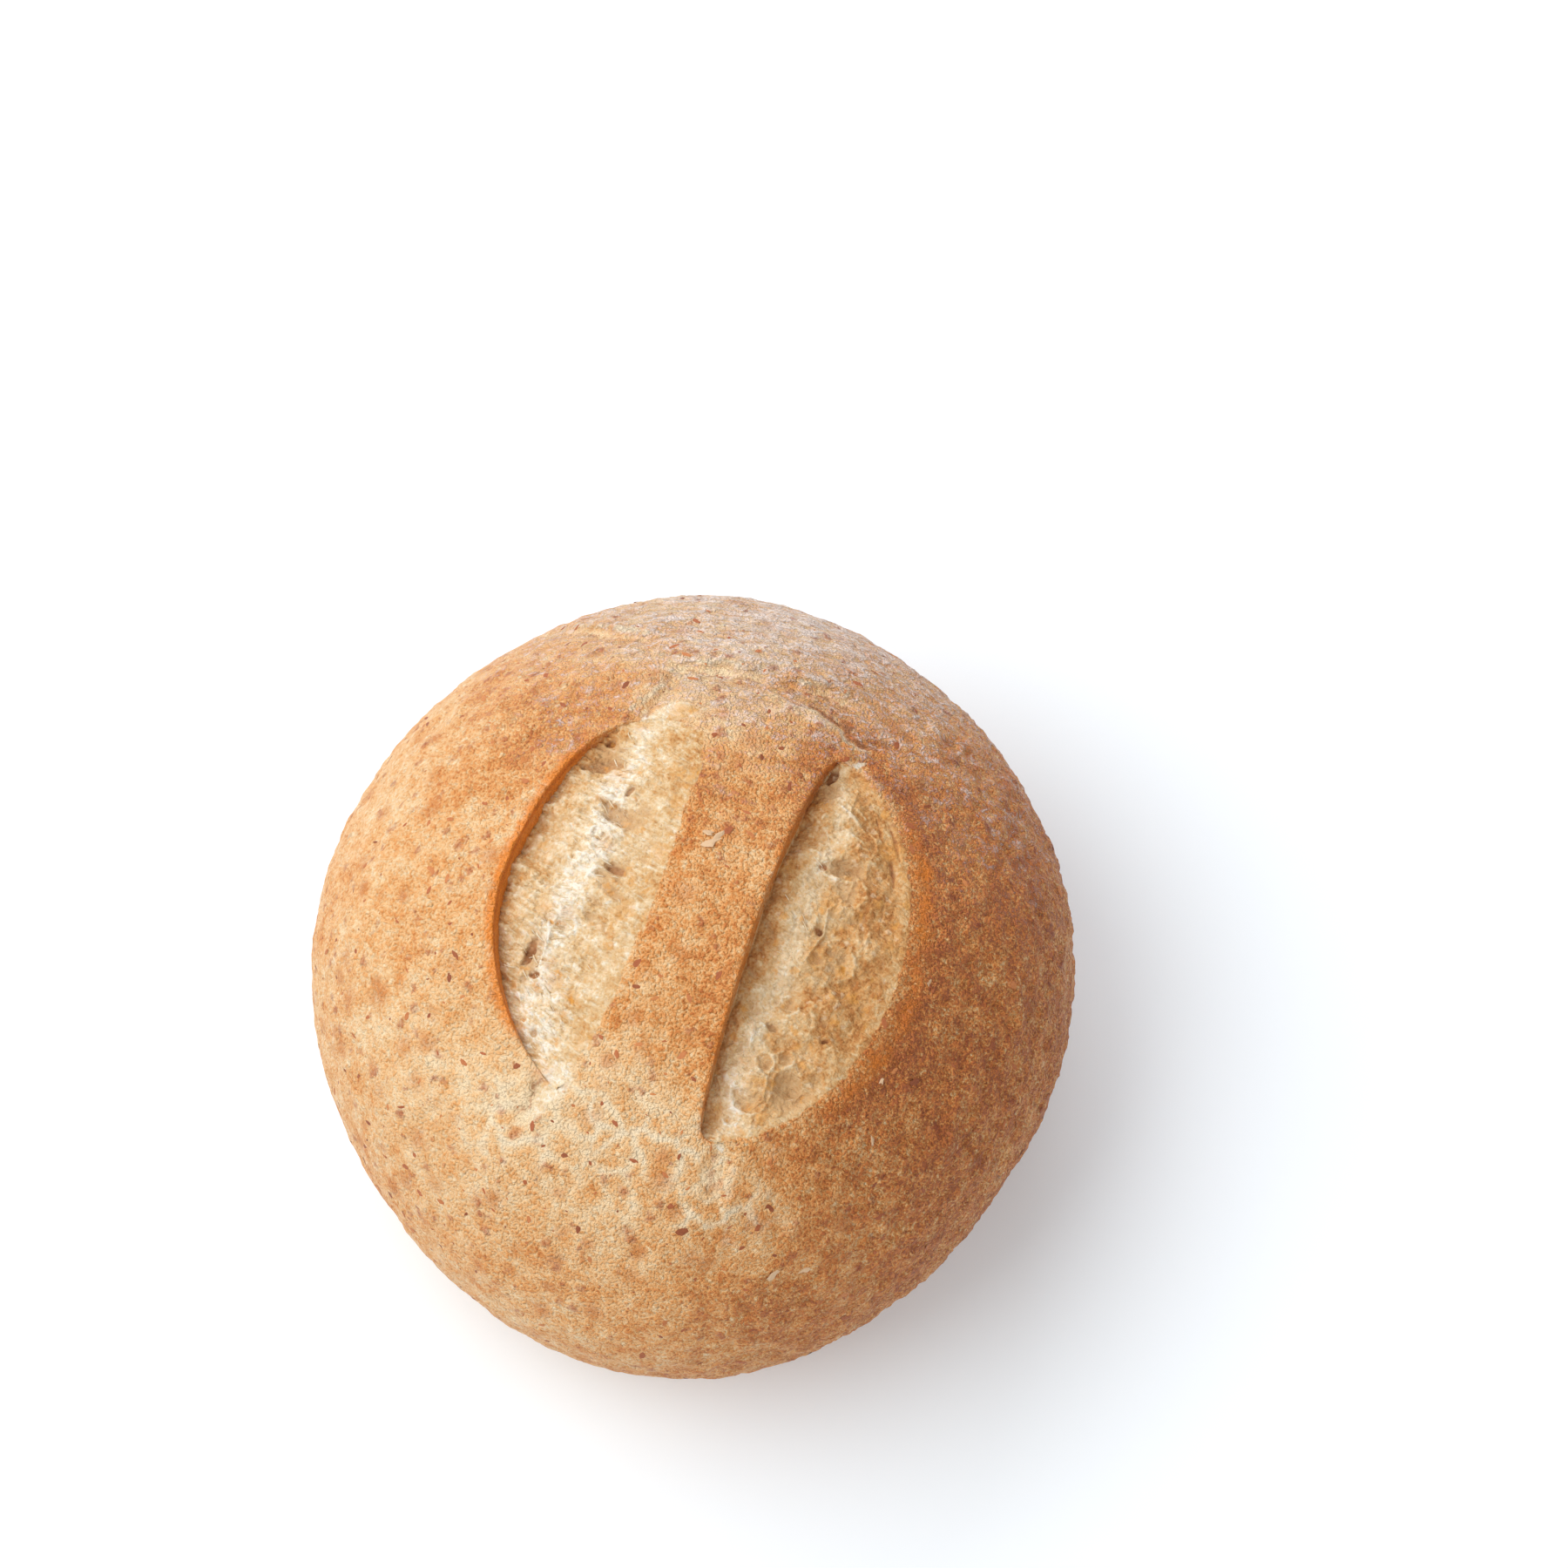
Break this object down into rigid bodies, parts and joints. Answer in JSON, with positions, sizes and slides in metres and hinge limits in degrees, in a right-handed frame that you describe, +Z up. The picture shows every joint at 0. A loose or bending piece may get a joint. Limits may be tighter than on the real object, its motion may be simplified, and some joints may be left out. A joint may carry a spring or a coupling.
{
  "type": "bread roll",
  "caption": "Round bran bread roll: a domed crust over a flat base, with opened cuts across the crown that show the crumb.",
  "frame": {"origin": "middle of the flat base, under the middle of the roll's box", "axes": "+Z up out of the crown, +Y along the cuts (the longest way), +X across them"},
  "size_m": [0.0898, 0.0947, 0.0557],
  "materials": {
    "crust": "baked crust, golden brown, matt, with reddish bran flecks and pale crumb in the cuts"
  },
  "bodies": {
    "root": {"roll": "crust"}
  },
  "joints": []
}
